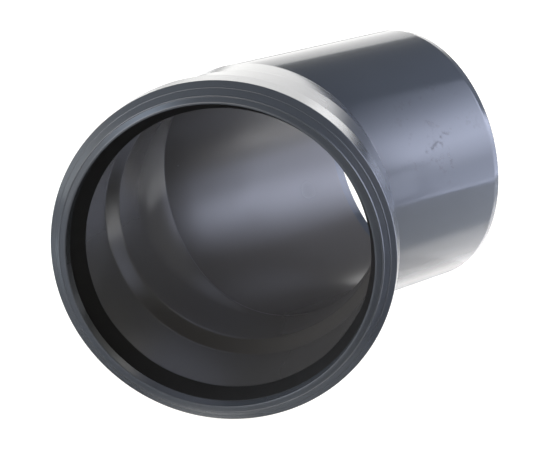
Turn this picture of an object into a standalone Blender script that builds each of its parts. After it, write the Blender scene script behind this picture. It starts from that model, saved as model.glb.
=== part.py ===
"""45 degree push-fit elbow for 110 mm waste pipe: moulded body, lip seal and snap-on retaining ring.

Lengths are in metres, +Z is up. The pieces are drawn on the fitting's own axes, which cross at the
bend centre: the socket opens along SOCKET_AXIS and the spigot points along SPIGOT_AXIS. An empty
then lays the fitting down as it rests on a table, with the bottom centre of its box at the origin.
"""

import math

import bmesh
import bpy
from mathutils import Matrix, Vector

SEGMENTS = 72                      # sides of every round section
GAP = 0.0003                       # left between pieces that touch

# Axes of the fitting, crossing at the bend centre
BEND = math.radians(45)
SOCKET_AXIS = Vector((0, -1, 0))
SPIGOT_AXIS = Vector((math.sin(BEND), math.cos(BEND), 0))
UP = Vector((0, 0, 1))

# Spigot
SPIGOT_R = 0.0550                  # fits a 110 mm socket
SPIGOT_BORE_R = 0.0523
SPIGOT_LENGTH = 0.0828             # bend centre to end face
CHAMFER_LENGTH = 0.0030
CHAMFER_ANGLE = math.radians(15)

# Socket. Stations on its axis are measured from the seat plane, where the retaining ring
# meets the body, and are positive towards the mouth.
SEAT_TO_CENTRE = 0.0866
SOCKET_BORE_R = 0.0555
SOCKET_R = 0.0587
SHOULDER_OUT = (-0.0465, -0.0575)  # outer cone from SOCKET_R down to SPIGOT_R
SHOULDER_IN = (-0.0487, -0.0582)   # inner cone that stops the pipe

# Seal chamber, an open counterbore at the front of the body
CHAMBER_BORE_R = 0.0589
CHAMBER_R = 0.0609
CHAMBER_DEPTH = 0.0090
FLARE = (-0.0125, -0.0152)         # outer cone from CHAMBER_R down to SOCKET_R

# Retaining ring
RING_R = 0.0629
RING_SKIRT_R = CHAMBER_R + GAP
RING_BACK = -0.0120
RING_BACK_BEVEL = 0.0004
RING_FRONT = 0.0058
THROAT_R = 0.0555
SNAP_BEAD = (-0.0102, -0.0106, -0.0110, -0.0114)
SNAP_BEAD_R = CHAMBER_R + 0.00005
SNAP_GROOVE_R = 0.0605

# Seal
SEAL_R = CHAMBER_BORE_R - GAP
SEAL_RIB_DEPTH = 0.0004
LIP_R = 0.0525
LIP_TIP = -0.0071

# Rounded heel, where the two cylinders meet on the outside of the bend
HEEL_SOCKET_SIDE = 0.0150
HEEL_SPIGOT_SIDE = 0.0074
HEEL_LEAST = 0.0006

# Colours: linear RGB
ANTHRACITE = (0.088, 0.098, 0.122, 1.0)
RUBBER_BLACK = (0.012, 0.011, 0.011, 1.0)


def clear_scene():
    for obj in list(bpy.data.objects):
        bpy.data.objects.remove(obj, do_unlink=True)


def make_material(name, colour, roughness):
    material = bpy.data.materials.new(name)
    material.use_nodes = True
    shader = material.node_tree.nodes["Principled BSDF"]
    shader.inputs["Base Color"].default_value = colour
    shader.inputs["Roughness"].default_value = roughness
    shader.inputs["Metallic"].default_value = 0.0
    return material


def heel_direction(axis, other):
    """Unit vector across axis, towards the outside of the bend."""
    across = other - other.dot(axis) * axis
    return -across.normalized()


SOCKET_HEEL = heel_direction(SOCKET_AXIS, SPIGOT_AXIS)
SPIGOT_HEEL = heel_direction(SPIGOT_AXIS, SOCKET_AXIS)


def angles():
    return [2 * math.pi * i / SEGMENTS for i in range(SEGMENTS)]


def on_socket(radius, distance, angle):
    """Point on a cylinder round the socket axis, at a distance from the bend centre.

    The angle is 0 on the heel and 90 degrees on top.
    """
    across = math.cos(angle) * SOCKET_HEEL + math.sin(angle) * UP
    return distance * SOCKET_AXIS + radius * across


def on_spigot(radius, distance, angle):
    across = math.cos(angle) * SPIGOT_HEEL + math.sin(angle) * UP
    return distance * SPIGOT_AXIS + radius * across


def socket_loop(radius, station):
    return [on_socket(radius, SEAT_TO_CENTRE + station, a) for a in angles()]


def spigot_loop(radius, distance):
    return [on_spigot(radius, distance, a) for a in angles()]


def bend_loops(radius):
    """Three loops across the mitre, from the socket's side to the spigot's, with a rounded heel."""
    loops = [[], [], []]
    for angle in angles():
        mitre = -radius * math.tan(BEND / 2) * math.cos(angle)
        heel = max(math.cos(angle), 0) ** 1.5
        before = HEEL_LEAST + (HEEL_SOCKET_SIDE - HEEL_LEAST) * heel
        after = HEEL_LEAST + (HEEL_SPIGOT_SIDE - HEEL_LEAST) * heel
        start = on_socket(radius, mitre + before, angle)
        corner = on_socket(radius, mitre, angle)
        end = on_spigot(radius, mitre + after, angle)
        loops[0].append(start)
        loops[1].append(start / 4 + corner / 2 + end / 4)
        loops[2].append(end)
    return loops


def closed_tube(name, loops, material):
    """Solid whose surface runs through the loops in order and back to the first one."""
    mesh = bpy.data.meshes.new(name)
    bm = bmesh.new()
    rows = [[bm.verts.new(point) for point in loop] for loop in loops]
    for row, following in zip(rows, rows[1:] + rows[:1]):
        for i in range(SEGMENTS):
            j = (i + 1) % SEGMENTS
            bm.faces.new((row[i], row[j], following[j], following[i]))
    bmesh.ops.recalc_face_normals(bm, faces=bm.faces)
    bm.to_mesh(mesh)
    bm.free()
    mesh.shade_smooth()
    mesh.set_sharp_from_angle(angle=math.radians(12))
    mesh.materials.append(material)
    obj = bpy.data.objects.new(name, mesh)
    bpy.context.scene.collection.objects.link(obj)
    return obj


def turned(name, section, material):
    """Ring with the given closed section of (radius, station) points round the socket axis."""
    return closed_tube(name, [socket_loop(r, s) for r, s in section], material)


def elbow_body(material):
    end_r = SPIGOT_R - CHAMFER_LENGTH * math.tan(CHAMFER_ANGLE)
    outside = [
        spigot_loop(end_r, SPIGOT_LENGTH),
        spigot_loop(SPIGOT_R, SPIGOT_LENGTH - CHAMFER_LENGTH),
        *reversed(bend_loops(SPIGOT_R)),
        socket_loop(SPIGOT_R, SHOULDER_OUT[1]),
        socket_loop(SOCKET_R, SHOULDER_OUT[0]),
        socket_loop(SOCKET_R, FLARE[1]),
        socket_loop(CHAMBER_R, FLARE[0]),
        socket_loop(CHAMBER_R, SNAP_BEAD[3] - GAP),
        socket_loop(SNAP_GROOVE_R, SNAP_BEAD[2] - GAP),
        socket_loop(SNAP_GROOVE_R, SNAP_BEAD[1] + GAP),
        socket_loop(CHAMBER_R, SNAP_BEAD[0] + GAP),
        socket_loop(CHAMBER_R, 0),
    ]
    inside = [
        socket_loop(CHAMBER_BORE_R, 0),
        socket_loop(CHAMBER_BORE_R, -CHAMBER_DEPTH),
        socket_loop(SOCKET_BORE_R, -CHAMBER_DEPTH),
        socket_loop(SOCKET_BORE_R, SHOULDER_IN[0]),
        socket_loop(SPIGOT_BORE_R, SHOULDER_IN[1]),
        *bend_loops(SPIGOT_BORE_R),
        spigot_loop(SPIGOT_BORE_R, SPIGOT_LENGTH),
    ]
    return closed_tube("elbow_body", outside + inside, material)


def seal_ring(material):
    """Rubber ring whose lip leans back into the socket, so that the pipe folds it inwards."""
    rib_r = SEAL_R - SEAL_RIB_DEPTH
    section = [
        (0.0557, -GAP),
        (SEAL_R, -GAP),
        (SEAL_R, -0.0027),
        (rib_r, -0.0032),
        (rib_r, -0.0044),
        (SEAL_R, -0.0049),
        (SEAL_R, GAP - CHAMBER_DEPTH),
        (0.0570, GAP - CHAMBER_DEPTH),
        (0.0565, -0.0050),
        (LIP_R + 0.0012, LIP_TIP - 0.0012),
        (LIP_R, LIP_TIP - 0.0003),
        (LIP_R, LIP_TIP),
    ]
    return turned("seal_ring", section, material)


def retaining_ring(material):
    section = [
        (RING_R - RING_BACK_BEVEL, RING_BACK),
        (RING_R, RING_BACK + RING_BACK_BEVEL),
        (RING_R, 0),
        (0.0608, 0.0022),
        (0.0586, 0.0044),
        (0.0581, 0.0047),
        (0.0563, RING_FRONT),
        (THROAT_R + 0.0002, RING_FRONT),
        (THROAT_R, RING_FRONT - 0.0002),
        (THROAT_R, GAP),
        (RING_SKIRT_R, GAP),
        (RING_SKIRT_R, SNAP_BEAD[0]),
        (SNAP_BEAD_R, SNAP_BEAD[1]),
        (SNAP_BEAD_R, SNAP_BEAD[2]),
        (RING_SKIRT_R, SNAP_BEAD[3]),
        (RING_SKIRT_R, RING_BACK),
    ]
    return turned("retaining_ring", section, material)


def resting_roll():
    """Roll about the spigot's axis at which the fitting rests.

    The spigot lies along the table, and the back edge of the retaining ring, which is wider,
    touches it beside the spigot. The loop settles on the roll that puts both at one height.
    """
    reach = SEAT_TO_CENTRE + RING_BACK + RING_BACK_BEVEL
    sine = 0.0
    for _ in range(20):
        lean = math.sin(BEND) * sine
        sine = (RING_R * math.sqrt(1 - lean**2) - SPIGOT_R) / (reach * math.sin(BEND))
    return math.asin(sine)


def lay_down(pieces):
    """Parents the pieces to an empty that sets them on the table, centred on the origin."""
    axes = bpy.data.objects.new("fitting_axes", None)
    bpy.context.scene.collection.objects.link(axes)
    rotation = Matrix.Rotation(-resting_roll(), 4, SPIGOT_AXIS)  # the mouth goes up
    points = [rotation @ vertex.co for piece in pieces for vertex in piece.data.vertices]
    low = [min(p[k] for p in points) for k in range(3)]
    high = [max(p[k] for p in points) for k in range(3)]
    centre = Vector(((low[0] + high[0]) / 2, (low[1] + high[1]) / 2, low[2]))
    axes.matrix_world = Matrix.Translation(-centre) @ rotation
    for piece in pieces:
        piece.parent = axes


def main():
    clear_scene()
    plastic = make_material("anthracite_plastic", ANTHRACITE, 0.32)
    ring_plastic = make_material("retaining_ring_plastic", ANTHRACITE, 0.35)
    rubber = make_material("seal_rubber", RUBBER_BLACK, 0.62)
    lay_down([elbow_body(plastic), seal_ring(rubber), retaining_ring(ring_plastic)])


main()
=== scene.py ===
"""Look of the 45 degree push-fit elbow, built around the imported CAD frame.

Every piece is drawn on the fitting's own axes, which cross at the bend centre: the socket opens
along SOCKET_AXIS and the spigot points along SPIGOT_AXIS. AXES then sets it down as the CAD lies.
Lengths are in metres.
"""

import math

import bmesh
import bpy
from mathutils import Matrix, Vector, noise

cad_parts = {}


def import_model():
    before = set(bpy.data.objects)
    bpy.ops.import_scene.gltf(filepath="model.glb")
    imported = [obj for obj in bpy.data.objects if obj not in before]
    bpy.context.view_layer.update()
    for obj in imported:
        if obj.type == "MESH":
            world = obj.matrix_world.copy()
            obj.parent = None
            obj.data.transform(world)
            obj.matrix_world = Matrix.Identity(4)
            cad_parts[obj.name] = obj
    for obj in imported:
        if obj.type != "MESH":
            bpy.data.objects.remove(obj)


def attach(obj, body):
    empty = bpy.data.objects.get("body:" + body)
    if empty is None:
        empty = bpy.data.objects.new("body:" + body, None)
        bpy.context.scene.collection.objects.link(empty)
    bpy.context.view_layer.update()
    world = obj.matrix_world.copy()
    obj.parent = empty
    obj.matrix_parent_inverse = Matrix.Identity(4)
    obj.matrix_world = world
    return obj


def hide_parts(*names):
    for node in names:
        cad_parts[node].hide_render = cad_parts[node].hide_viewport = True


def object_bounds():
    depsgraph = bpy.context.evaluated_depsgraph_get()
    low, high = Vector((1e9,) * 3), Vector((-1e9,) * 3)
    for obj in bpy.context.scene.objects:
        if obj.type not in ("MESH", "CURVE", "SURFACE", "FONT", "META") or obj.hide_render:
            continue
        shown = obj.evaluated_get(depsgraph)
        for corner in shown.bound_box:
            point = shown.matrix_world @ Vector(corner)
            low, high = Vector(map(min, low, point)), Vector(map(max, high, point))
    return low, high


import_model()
cad_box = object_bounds()

SEGMENTS = 360                     # sides of every round section
BEND = math.radians(45)
SOCKET_AXIS = Vector((0, -1, 0))
SPIGOT_AXIS = Vector((math.sin(BEND), math.cos(BEND), 0))
UP = Vector((0, 0, 1))
RESTING_ROLL = math.radians(8.2153)                    # about the spigot's axis, as the CAD lies
BEND_CENTRE = Vector((-0.016757, 0.000383, 0.054993))  # where the two axes cross in the CAD
AXES = Matrix.Translation(BEND_CENTRE) @ Matrix.Rotation(-RESTING_ROLL, 4, SPIGOT_AXIS)
SEAT_TO_CENTRE = 0.0866            # stations are measured from the seat, positive to the mouth
HOLD = 0.0004                      # a loop this far beyond the bend keeps the straight wall flat

# Body
SPIGOT_R = 0.0550
SPIGOT_BORE_R = 0.0523
SPIGOT_LENGTH = 0.0828
CHAMFER_LENGTH = 0.0030
CHAMFER_DROP = 0.0008
SOCKET_R = 0.0587
SOCKET_BORE_R = 0.0555
SHOULDER_OUT = (-0.0465, -0.0575)
SHOULDER_IN = (-0.0487, -0.0582)
CHAMBER_BORE_R = 0.0589
CHAMBER_R = 0.0609
CHAMBER_DEPTH = 0.0090
GROOVE_R = CHAMBER_R - 0.0004
DRAWN_IN_FROM = 0.026              # the spigot's bore is drawn in nearer to the bend than this
DRAWN_IN_SLOPE = 0.070
DRAWN_IN_TURN = 0.35               # radians below the heel to where it is drawn in most

# Retaining ring and seal
RING_R = 0.0629
RING_BACK = -0.0120
RING_FRONT = 0.0058
THROAT_R = 0.0555
SKIRT_R = CHAMBER_R + 0.0003
BEAD_R = CHAMBER_R + 0.00005
SEAL_R = CHAMBER_BORE_R - 0.0003
SEAL_RIB_R = CHAMBER_BORE_R - 0.0007
SEAL_FOLD_R = 0.0557               # the lip starts here and is slack from here inwards
LIP_R = 0.0525


# ---------------------------------------------------------------- shapes

def heel_direction(axis, other):
    """Unit vector across axis, towards the outside of the bend."""
    return -(other - other.dot(axis) * axis).normalized()


SOCKET_HEEL = heel_direction(SOCKET_AXIS, SPIGOT_AXIS)
SPIGOT_HEEL = heel_direction(SPIGOT_AXIS, SOCKET_AXIS)
ANGLES = [2 * math.pi * i / SEGMENTS for i in range(SEGMENTS)]


def on_socket(radius, distance, angle):
    across = math.cos(angle) * SOCKET_HEEL + math.sin(angle) * UP
    return distance * SOCKET_AXIS + radius * across


def on_spigot(radius, distance, angle):
    across = math.cos(angle) * SPIGOT_HEEL + math.sin(angle) * UP
    return distance * SPIGOT_AXIS + radius * across


def socket_loop(radius, station):
    return [on_socket(radius, SEAT_TO_CENTRE + station, a) for a in ANGLES]


def spigot_loop(radius, distance):
    return [on_spigot(radius, distance, a) for a in ANGLES]


def softened(points, closed):
    """Section with its corners rounded.

    Each point is (radius, station, rounding), where rounding is how far from the corner the arc
    starts. A point is added beside each arc, so that flat faces stay flat when shaded smooth.
    """
    hold = 0.00025
    result = []
    count = len(points)
    for i, (r, s, cut) in enumerate(points):
        here = Vector((r, s))
        if not closed and i in (0, count - 1):
            result.append(here)
            continue
        before = Vector(points[i - 1][:2]) - here
        after = Vector(points[(i + 1) % count][:2]) - here
        cut = min(cut, 0.42 * before.length, 0.42 * after.length)
        if cut <= 0:
            result.append(here)
            continue
        a = here + before.normalized() * cut
        b = here + after.normalized() * cut
        if before.length > 3 * (cut + hold):
            result.append(a + before.normalized() * hold)
        steps = 6
        for k in range(steps + 1):
            t = k / steps
            result.append((1 - t) ** 2 * a + 2 * t * (1 - t) * here + t * t * b)
        if after.length > 3 * (cut + hold):
            result.append(b + after.normalized() * hold)
    return [(p.x, p.y) for p in result]


def bend_loops(radius, spigot_radius, socket_side, spigot_side, least, short=0.0, power=1.5):
    """Loops across the mitre from the socket's side to the spigot's, with a rounded heel.

    spigot_radius gives the spigot's radius at a distance and angle. The curve's control point is
    where the socket's surface would meet the spigot's, or as far short of it as short says, which
    leaves a crease where the curve meets the spigot.
    """
    steps = 14
    loops = [[] for _ in range(steps + 3)]
    for angle in ANGLES:
        mitre = -radius * math.tan(BEND / 2) * math.cos(angle)
        heel = max(math.cos(angle), 0) ** power
        before = least + (socket_side - least) * heel
        after = mitre + least + (spigot_side - least) * heel
        height = radius * math.sin(angle)
        reach = math.sqrt(max(spigot_radius(mitre, angle) ** 2 - height**2, 0))
        reach = math.copysign(reach, math.cos(angle))
        meeting = (radius * math.cos(angle) * math.cos(BEND) - reach) / math.sin(BEND)
        start = on_socket(radius, meeting + before, angle)
        corner = on_socket(radius, meeting + short * heel, angle)
        end = on_spigot(spigot_radius(after, angle), after, angle)
        loops[0].append(on_socket(radius, meeting + before + HOLD, angle))
        for k in range(steps + 1):
            t = k / steps
            loops[k + 1].append((1 - t) ** 2 * start + 2 * t * (1 - t) * corner + t * t * end)
        after += HOLD
        loops[steps + 2].append(on_spigot(spigot_radius(after, angle), after, angle))
    return loops


def tube(name, loops, materials, body, node, inside_from=None, line=None):
    """Closed surface through the loops in order and back to the first, in place of a CAD node.

    Faces from loop inside_from on take the second material. Loop line is a crease, and the faces
    after it take the third.
    """
    mesh = bpy.data.meshes.new(name)
    bm = bmesh.new()
    rows = [[bm.verts.new(AXES @ point) for point in loop] for loop in loops]
    for i, (row, following) in enumerate(zip(rows, rows[1:] + rows[:1])):
        for j in range(SEGMENTS):
            k = (j + 1) % SEGMENTS
            face = bm.faces.new((row[j], row[k], following[k], following[j]))
            face.smooth = True
            face.material_index = 2 if i == line else int(inside_from is not None and i >= inside_from)
    if line is not None:
        for point, following in zip(rows[line], rows[line][1:] + rows[line][:1]):
            bm.edges.get((point, following)).smooth = False
    bmesh.ops.recalc_face_normals(bm, faces=bm.faces)
    bm.to_mesh(mesh)
    bm.free()
    for material in materials:
        mesh.materials.append(material)
    piece = bpy.data.objects.new(name, mesh)
    bpy.context.scene.collection.objects.link(piece)
    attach(piece, body)
    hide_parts(node)
    return piece


def bore_radius(distance, angle):
    """Spigot bore: straight to the end, but drawn in towards the bend beside the heel."""
    near = max(DRAWN_IN_FROM - distance, 0)
    if near < DRAWN_IN_FROM:
        drawn_in = near**2 / (2 * DRAWN_IN_FROM)
    else:
        drawn_in = near - DRAWN_IN_FROM / 2
    share = max(math.cos(angle + DRAWN_IN_TURN), 0) ** 2
    return SPIGOT_BORE_R - DRAWN_IN_SLOPE * drawn_in * share


def body_loops():
    """The body's loops, and where its inner side and the cores' parting line start among them."""
    straight_bore_from = SPIGOT_LENGTH - 0.004
    spigot_outside = softened([
        (SPIGOT_BORE_R, straight_bore_from, 0),
        (SPIGOT_BORE_R, SPIGOT_LENGTH, 0.0003),
        (SPIGOT_R - CHAMFER_DROP, SPIGOT_LENGTH, 0.0003),
        (SPIGOT_R, SPIGOT_LENGTH - CHAMFER_LENGTH, 0.0005),
        (SPIGOT_R, 0.040, 0),
    ], closed=False)
    socket_outside = softened([
        (SPIGOT_R, SHOULDER_OUT[1] - 0.0010, 0),
        (SPIGOT_R, SHOULDER_OUT[1], 0.0004),
        (SOCKET_R, SHOULDER_OUT[0], 0.0006),
        (SOCKET_R, -0.0152, 0.0010),
        (CHAMBER_R, -0.0125, 0.0006),
        (CHAMBER_R, -0.0117, 0.0001),
        (GROOVE_R, -0.0113, 0.0001),
        (GROOVE_R, -0.0103, 0.0001),
        (CHAMBER_R, -0.0099, 0.0001),
        (CHAMBER_R, 0, 0.0002),
        (CHAMBER_BORE_R, 0, 0.0002),
    ], closed=False)
    socket_inside = softened([
        (CHAMBER_BORE_R, -0.0010, 0),
        (CHAMBER_BORE_R, -CHAMBER_DEPTH, 0.0002),
        (SOCKET_BORE_R, -CHAMBER_DEPTH, 0.0004),
        (SOCKET_BORE_R, SHOULDER_IN[0], 0.0009),
        (SPIGOT_BORE_R, SHOULDER_IN[1], 0.0012),
        (SPIGOT_BORE_R, SHOULDER_IN[1] - 0.0030, 0),
    ], closed=False)
    loops = [spigot_loop(r, s) for r, s in spigot_outside]
    loops += reversed(bend_loops(SPIGOT_R, lambda distance, angle: SPIGOT_R,
                                 0.0150, 0.0074, 0.0006))
    loops += [socket_loop(r, s) for r, s in socket_outside]
    inside_from = len(loops)
    loops += [socket_loop(r, s) for r, s in socket_inside]
    bend = bend_loops(SPIGOT_BORE_R, bore_radius, 0.0190, 0.0074, 0.0008, 0.0066, 2.0)
    loops += bend
    parting = len(loops) - 2
    starts = [point.dot(SPIGOT_AXIS) for point in bend[-1]]
    steps = 40
    for k in range(1, steps):
        loops.append([])
        for start, angle in zip(starts, ANGLES):
            distance = start + (straight_bore_from - start) * k / steps
            loops[-1].append(on_spigot(bore_radius(distance, angle), distance, angle))
    return loops, inside_from, parting


def seal_loops():
    section = softened([
        (SEAL_FOLD_R, -0.0003, 0.0003),
        (SEAL_R, -0.0003, 0.0003),
        (SEAL_R, -0.0027, 0.0003),
        (SEAL_RIB_R, -0.0032, 0.0003),
        (SEAL_RIB_R, -0.0044, 0.0003),
        (SEAL_R, -0.0049, 0.0003),
        (SEAL_R, 0.0003 - CHAMBER_DEPTH, 0.0003),
        (0.0570, 0.0003 - CHAMBER_DEPTH, 0.0004),
        (0.0565, -0.0050, 0.0006),
        (LIP_R + 0.0012, -0.0083, 0.0005),
        (LIP_R, -0.0074, 0.0004),
        (LIP_R + 0.0001, -0.0070, 0.0003),
    ], closed=True)
    loops = []
    for r, s in section:
        looseness = (max(SEAL_FOLD_R - r, 0) / (SEAL_FOLD_R - LIP_R)) ** 2
        loop = []
        for a in ANGLES:
            # The lip has settled a little off centre, with a slack stretch low on one side.
            slack = 0.0008 * math.cos(a - math.radians(230)) - 0.0002
            slack += 0.0004 * math.exp(-((math.degrees(a) - 207) / 9) ** 2)
            slack += 0.0002 * noise.noise(Vector((2.6 * math.cos(a), 2.6 * math.sin(a), 4.0)))
            loop.append(on_socket(r + slack * looseness, SEAT_TO_CENTRE + s, a))
        loops.append(loop)
    return loops


def retaining_ring_loops():
    section = softened([
        (RING_R - 0.0001, RING_BACK, 0.0001),
        (RING_R, RING_BACK + 0.0004, 0.0002),
        (RING_R, 0, 0.0004),
        (0.0609, 0.0020, 0.0001),
        (0.0608, 0.0022, 0.0001),
        (0.0606, 0.0022, 0.0001),
        (0.0587, 0.0043, 0.0001),
        (0.0585, 0.0047, 0.0002),
        (0.0582, 0.0048, 0.0002),
        (0.0580, 0.0047, 0.0001),
        (0.0563, RING_FRONT, 0.0002),
        (THROAT_R + 0.0002, RING_FRONT, 0.0001),
        (THROAT_R, RING_FRONT - 0.0002, 0.0001),
        (THROAT_R, 0.0003, 0.0002),
        (SKIRT_R, 0.0003, 0.0001),
        (SKIRT_R, -0.0102, 0.0001),
        (BEAD_R, -0.0106, 0.0001),
        (BEAD_R, -0.0110, 0.0001),
        (SKIRT_R, -0.0114, 0.0001),
        (SKIRT_R, RING_BACK, 0.0001),
    ], closed=True)
    return [socket_loop(r, s) for r, s in section]


# ---------------------------------------------------------------- materials

class Nodes:
    """Short way to lay out the node tree of a material or a world."""

    def __init__(self, owner, shader="Principled BSDF"):
        owner.use_nodes = True
        self.owner = owner
        self.tree = owner.node_tree
        self.shader = self.tree.nodes[shader]

    def add(self, kind, inputs=None, **settings):
        node = self.tree.nodes.new(kind)
        for key, value in settings.items():
            setattr(node, key, value)
        for key, value in (inputs or {}).items():
            self.put(value, node.inputs[key])
        return node

    def put(self, value, socket):
        if isinstance(value, bpy.types.NodeSocket):
            self.tree.links.new(value, socket)
        else:
            socket.default_value = value

    def math(self, operation, *values):
        node = self.tree.nodes.new("ShaderNodeMath")
        node.operation = operation
        for value, socket in zip(values, node.inputs):
            self.put(value, socket)
        return node.outputs[0]

    def noise(self, place, scale, detail=2.0, rough=0.5, distort=0.0):
        return self.add("ShaderNodeTexNoise", {
            "Vector": place, "Scale": scale, "Detail": detail,
            "Roughness": rough, "Distortion": distort,
        }).outputs["Fac"]

    def between(self, value, low, high, to_low=0.0, to_high=1.0):
        return self.add("ShaderNodeMapRange", {
            "Value": value, "From Min": low, "From Max": high,
            "To Min": to_low, "To Max": to_high,
        }, interpolation_type="SMOOTHSTEP").outputs["Result"]

    def mix(self, factor, first, second):
        node = self.add("ShaderNodeMix", data_type="RGBA")
        self.put(factor, node.inputs[0])
        self.put(first, node.inputs[6])
        self.put(second, node.inputs[7])
        return node.outputs[2]


ANTHRACITE = (0.074, 0.082, 0.093, 1.0)
ANTHRACITE_DARK = (0.065, 0.073, 0.084, 1.0)
# Painted light: the inside's tone is lighter and warmer than the outside's, standing in for the light
# that reaches the inside.
CORE_SIDE_PAINTED_LIGHT = (0.090, 0.086, 0.080, 1.0)
CORE_SIDE_DARK_PAINTED_LIGHT = (0.086, 0.082, 0.076, 1.0)
WORN = (0.045, 0.047, 0.052, 1.0)
RUBBER_BLACK = (0.0105, 0.0098, 0.0096, 1.0)
RUBBER_BLOOM = (0.0105, 0.0105, 0.0102, 1.0)


def near_to(n, place, centre, reach):
    """1 near a point given on the fitting's axes, falling to 0 at reach from it."""
    away = n.add("ShaderNodeVectorMath", {0: place, 1: AXES @ centre}, operation="DISTANCE")
    return n.between(away.outputs["Value"], 0.15 * reach, reach, 1.0, 0.0)


def plastic(n, place, colour, dark, rough, marks, dull=0.0):
    """Moulded plastic with faint flow in its colour and gloss, marks given as 0 to 1, and dullness."""
    flow = n.noise(place, 22.0, 2.0, 0.5, 0.6)
    ripple = n.noise(place, 60.0, 1.0, 0.5)
    worn = n.mix(marks, n.mix(flow, dark, colour), WORN)
    n.put(worn, n.shader.inputs["Base Color"])
    gloss = n.between(flow, 0.25, 0.75, rough - 0.02, rough + 0.04)
    matt = n.math("ADD", dull, n.math("MULTIPLY", marks, 0.22))
    n.put(n.math("ADD", gloss, matt), n.shader.inputs["Roughness"])
    bump = n.add("ShaderNodeBump", {"Strength": 0.04, "Distance": 0.0004, "Height": ripple})
    n.put(bump.outputs["Normal"], n.shader.inputs["Normal"])
    return n.owner


def outside_plastic():
    """The spigot's and socket's outside, with the scuffs of handling and fine drawn scratches."""
    n = Nodes(bpy.data.materials.new("anthracite_plastic"))
    place = n.add("ShaderNodeTexCoord").outputs["Object"]
    scuffs_at = on_spigot(SPIGOT_R, 0.055, math.radians(160))
    rubbed_at = on_socket(SOCKET_R, 0.050, math.radians(118))
    dull_at = on_socket(SOCKET_R, 0.050, math.radians(152))
    specks = n.between(n.noise(place, 380.0, 3.0, 0.65), 0.53, 0.62)
    broad = n.between(n.noise(place, 75.0, 2.0, 0.5, 0.6), 0.44, 0.58)
    scuffed = near_to(n, place, scuffs_at, 0.028)
    scuffs = n.math("MULTIPLY", n.math("MULTIPLY", specks, broad), scuffed)
    stretched = n.add("ShaderNodeMapping", {"Vector": place, "Scale": (50.0, 900.0, 50.0)})
    scratch = n.between(n.noise(stretched.outputs["Vector"], 1.0, 1.0, 0.5, 0.3), 0.66, 0.74)
    rubbed = near_to(n, place, rubbed_at, 0.045)
    scratches = n.math("MULTIPLY", scratch, n.math("ADD", n.math("MULTIPLY", rubbed, 0.12), 0.02))
    marks = n.math("MAXIMUM", scuffs, scratches)
    dull = n.math("MULTIPLY", near_to(n, place, dull_at, 0.055), 0.20)
    return plastic(n, place, ANTHRACITE, ANTHRACITE_DARK, 0.11, marks, dull)


def core_plastic():
    """The inside, a little duller, with the gate's vestige and two smudges. Its colour is painted
    light, a little lighter and warmer than the outside's.
    """
    n = Nodes(bpy.data.materials.new("core_side_plastic_painted_light"))
    place = n.add("ShaderNodeTexCoord").outputs["Object"]
    vestige_at = on_spigot(SPIGOT_BORE_R, -0.0068, math.radians(10))
    smudge_at = on_spigot(SPIGOT_BORE_R, 0.0600, math.radians(-20))
    stain_at = on_spigot(SPIGOT_BORE_R, 0.0419, math.radians(-55))
    vestige = near_to(n, place, vestige_at, 0.0016)
    blurred = n.between(n.noise(place, 70.0, 2.0, 0.5, 0.3), 0.40, 0.65)
    smudge = near_to(n, place, smudge_at, 0.0060)
    stain = near_to(n, place, stain_at, 0.0110)
    smudges = n.math("MULTIPLY", blurred, n.math("MAXIMUM", smudge, stain))
    marks = n.math("MAXIMUM", n.math("MULTIPLY", vestige, 0.8), n.math("MULTIPLY", smudges, 0.12))
    return plastic(n, place, CORE_SIDE_PAINTED_LIGHT, CORE_SIDE_DARK_PAINTED_LIGHT, 0.23, marks)


def parting_line_plastic():
    """The fine line that the two cores leave where they meet in the bend."""
    n = Nodes(bpy.data.materials.new("anthracite_plastic_parting_line"))
    place = n.add("ShaderNodeTexCoord").outputs["Object"]
    marks = n.between(n.noise(place, 180.0, 2.0, 0.5), 0.35, 0.65, 0.25, 0.75)
    return plastic(n, place, CORE_SIDE_PAINTED_LIGHT, CORE_SIDE_DARK_PAINTED_LIGHT, 0.32, marks)


def ring_plastic():
    """The retaining ring's, a little duller than the outside of the body."""
    n = Nodes(bpy.data.materials.new("retaining_ring_plastic"))
    place = n.add("ShaderNodeTexCoord").outputs["Object"]
    marks = n.math("MULTIPLY", n.between(n.noise(place, 150.0, 2.0, 0.5), 0.66, 0.78), 0.20)
    return plastic(n, place, ANTHRACITE, ANTHRACITE_DARK, 0.18, marks)


def rubber_material():
    n = Nodes(bpy.data.materials.new("seal_rubber"))
    place = n.add("ShaderNodeTexCoord").outputs["Object"]
    mottle = n.noise(place, 90.0, 3.0, 0.6)
    grain = n.noise(place, 1800.0, 2.0, 0.6)
    n.put(n.mix(mottle, RUBBER_BLACK, RUBBER_BLOOM), n.shader.inputs["Base Color"])
    n.put(n.between(mottle, 0.2, 0.8, 0.55, 0.68), n.shader.inputs["Roughness"])
    bump = n.add("ShaderNodeBump", {"Strength": 0.15, "Distance": 0.0001, "Height": grain})
    n.put(bump.outputs["Normal"], n.shader.inputs["Normal"])
    return n.owner


# ---------------------------------------------------------------- studio

def plane(name, half, material):
    mesh = bpy.data.meshes.new(name)
    mesh.from_pydata([(-half, -half, 0), (half, -half, 0), (half, half, 0), (-half, half, 0)],
                     [], [(0, 1, 2, 3)])
    mesh.materials.append(material)
    piece = bpy.data.objects.new(name, mesh)
    bpy.context.scene.collection.objects.link(piece)
    return piece


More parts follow.
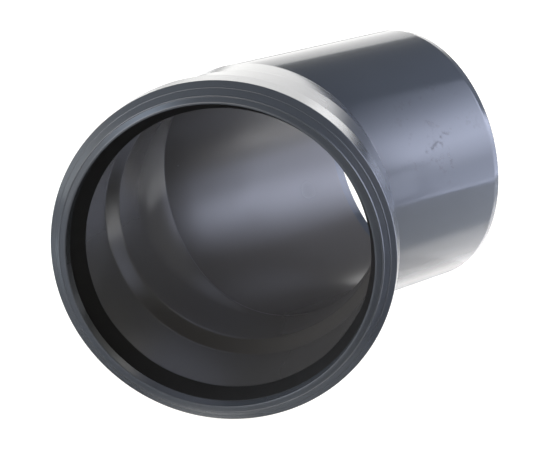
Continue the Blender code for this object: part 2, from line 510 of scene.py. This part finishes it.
def card(name, centre, size, radiance, colour, feather, towards=None, profile=None, turn=0.0):
    """Glowing see-through card with soft edges, which the camera doesn't see.

    It glows towards a point, or lies flat and glows upwards, where turn is its angle in the plan.
    feather is the share of its width and height over which it fades. profile, used instead over
    its height, has (share of the height, share of the radiance) pairs from the lower edge up.
    """
    n = Nodes(bpy.data.materials.new(name))
    n.tree.nodes.remove(n.shader)
    split = n.add("ShaderNodeSeparateXYZ", {"Vector": n.add("ShaderNodeTexCoord").outputs["Object"]})
    across = n.math("ABSOLUTE", split.outputs["X"])
    strength = n.math("MULTIPLY", n.between(across, 0.5 * (1 - feather), 0.5, 1.0, 0.0), radiance)
    if profile:
        ramp = n.add("ShaderNodeValToRGB", {"Fac": n.math("ADD", split.outputs["Y"], 0.5)})
        ramp.color_ramp.elements.remove(ramp.color_ramp.elements[1])
        for position, share in profile:
            ramp.color_ramp.elements.new(position).color = (share, share, share, 1.0)
        ramp.color_ramp.elements.remove(ramp.color_ramp.elements[0])
        upright = ramp.outputs["Color"]
    else:
        height = n.math("ABSOLUTE", split.outputs["Y"])
        upright = n.between(height, 0.5 * (1 - feather), 0.5, 1.0, 0.0)
    glow = n.add("ShaderNodeEmission", {
        "Color": (*colour, 1.0), "Strength": n.math("MULTIPLY", strength, upright),
    })
    clear = n.add("ShaderNodeBsdfTransparent")
    both = n.add("ShaderNodeAddShader", {0: glow.outputs[0], 1: clear.outputs[0]})
    n.put(both.outputs[0], n.tree.nodes["Material Output"].inputs["Surface"])
    piece = plane(name, 0.5, n.owner)
    piece.location = centre
    if towards:
        direction = Vector(towards) - Vector(centre)
        piece.rotation_euler = direction.to_track_quat("Z", "Y").to_euler()
    else:
        piece.rotation_euler.z = turn
    piece.scale = (*size, 1.0)
    piece.visible_camera = False


def floor():
    """Plain white to the camera, but dim to the part: what the floor gives it, the cards give."""
    n = Nodes(bpy.data.materials.new("floor_white"))
    n.put((0.18, 0.18, 0.18, 1.0), n.shader.inputs["Base Color"])
    n.put(0.55, n.shader.inputs["Roughness"])
    n.put((1.0, 0.98, 0.95, 1.0), n.shader.inputs["Emission Color"])
    seen = n.add("ShaderNodeLightPath").outputs["Is Camera Ray"]
    n.put(n.math("MAXIMUM", seen, 0.02), n.shader.inputs["Emission Strength"])
    piece = plane("floor", 4.0, n.owner)
    piece.location.z = min(cad_box[0].z, 0) - 0.0002


def world():
    """Dim warm room, darker upwards and to the right."""
    n = Nodes(bpy.data.worlds.new("studio"), "Background")
    split = n.add("ShaderNodeSeparateXYZ", {
        "Vector": n.add("ShaderNodeTexCoord").outputs["Generated"],
    })
    low, high = math.sin(math.radians(20)), math.sin(math.radians(45))
    upwards = n.between(split.outputs["Z"], low, high, 0.55, 0.12)
    sideways = n.between(split.outputs["X"], -0.7, 0.7, 1.6, 0.45)
    n.put(n.math("MULTIPLY", upwards, sideways), n.shader.inputs["Strength"])
    n.put((1.02, 1.0, 0.94, 1.0), n.shader.inputs["Color"])
    bpy.context.scene.world = n.owner


CAMERA_PLACE = (0.08058, -0.57359, 0.26514)
CAMERA_VIEW = Vector((-0.14727, 0.92195, -0.35823))
CAMERA_TILT = math.radians(-2.0735)


def camera():
    data = bpy.data.cameras.new("camera")
    data.lens = 98.45
    data.sensor_width = 36.0
    data.clip_start = 0.01
    obj = bpy.data.objects.new("camera", data)
    bpy.context.scene.collection.objects.link(obj)
    turn = CAMERA_VIEW.to_track_quat("-Z", "Y").to_matrix().to_4x4()
    obj.matrix_world = Matrix.Translation(CAMERA_PLACE) @ turn @ Matrix.Rotation(CAMERA_TILT, 4, "Z")
    bpy.context.scene.camera = obj


WHITE = (1.0, 1.0, 1.0)
LILAC = (0.80, 0.86, 1.10)
WARM = (1.0, 0.94, 0.88)
SOFTBOX_PROFILE = (
    (0.00, 0.50), (0.14, 0.50), (0.22, 0.80), (0.30, 1.00), (0.41, 0.82), (0.50, 0.55),
    (0.59, 0.34), (0.66, 0.24), (0.77, 0.14), (1.00, 0.00),
)


def softbox():
    """Tall softbox on the right, brightest low down, with its near edge and foot."""
    card("right_softbox", (0.300, 0.058, 0.260), (0.246, 0.52), 7.8, LILAC, 0.20,
         towards=(0.0, 0.058, 0.260), profile=SOFTBOX_PROFILE)
    card("right_softbox_near", (0.300, -0.057, 0.062), (0.056, 0.125), 3.6, LILAC, 0.5,
         towards=(0.0, -0.057, 0.062))
    card("right_softbox_foot", (0.284, 0.050, 0.001), (0.034, 0.250), 3.6, LILAC, 0.1)


def table_light():
    """Light that comes back from the table: beside the spigot, on the left, in front and behind."""
    card("bounce_far", (0.145, 0.095, 0.001), (0.232, 0.32), 0.95, (0.96, 0.98, 1.0), 0.04)
    card("bounce_near", (0.0897, 0.0403, 0.0015), (0.40, 0.060), 1.2, WARM, 0.50, turn=BEND)
    card("left_glow", (-0.150, 0.090, 0.001), (0.44, 0.30), 0.60, (0.8, 1.0, 1.15), 0.6)
    card("front_glow", (0.010, -0.100, 0.001), (0.15, 0.14), 0.25, (0.95, 1.0, 1.05), 0.6)
    card("floor_behind", (-0.250, 0.760, 0.001), (0.70, 0.95), 1.1, WHITE, 0.2)


def backdrop():
    """White wall behind the part, which the tops of the socket and spigot reflect."""
    card("backdrop", (-0.285, 1.300, 0.370), (1.42, 0.66), 1.45, WHITE, 0.08,
         towards=(-0.285, 0.0, 0.370))
    card("backdrop_edge", (0.310, 1.295, 0.210), (0.36, 0.28), 1.0, WHITE, 0.4,
         towards=(0.310, 0.0, 0.210))
    card("backdrop_right", (0.480, 1.290, 0.540), (0.20, 0.36), 0.7, (1.0, 0.92, 0.80), 0.2,
         towards=(0.480, 0.0, 0.540))


def fills():
    """Large lights from the viewer's side, which light the inside, and a weak one from the left."""
    card("front_fill", (-0.600, -1.300, 0.600), (1.60, 1.20), 3.0, (1.08, 1.0, 0.97), 0.5,
         towards=(0.0, 0.0, 0.060))
    card("upper_left_fill", (-0.900, -0.900, 0.900), (1.10, 1.10), 3.4, (0.84, 1.0, 1.25), 0.5,
         towards=(0.0, -0.09, 0.060))
    card("left_fill", (-1.300, 0.100, 0.300), (1.00, 0.60), 0.40, (0.7, 0.9, 1.1), 0.4,
         towards=(0.0, 0.0, 0.100))


def fitting():
    loops, inside_from, parting = body_loops()
    materials = [outside_plastic(), core_plastic(), parting_line_plastic()]
    body = tube("elbow_body_shell", loops, materials, "body", "elbow_body", inside_from, parting)
    ring = tube("retaining_ring_shell", retaining_ring_loops(), [ring_plastic()],
                "retaining_ring", "retaining_ring")
    seal = tube("lip_seal", seal_loops(), [rubber_material()], "seal", "seal_ring")


fitting()
floor()
world()
camera()
softbox()
table_light()
backdrop()
fills()
bpy.context.scene.view_settings.view_transform = "Standard"
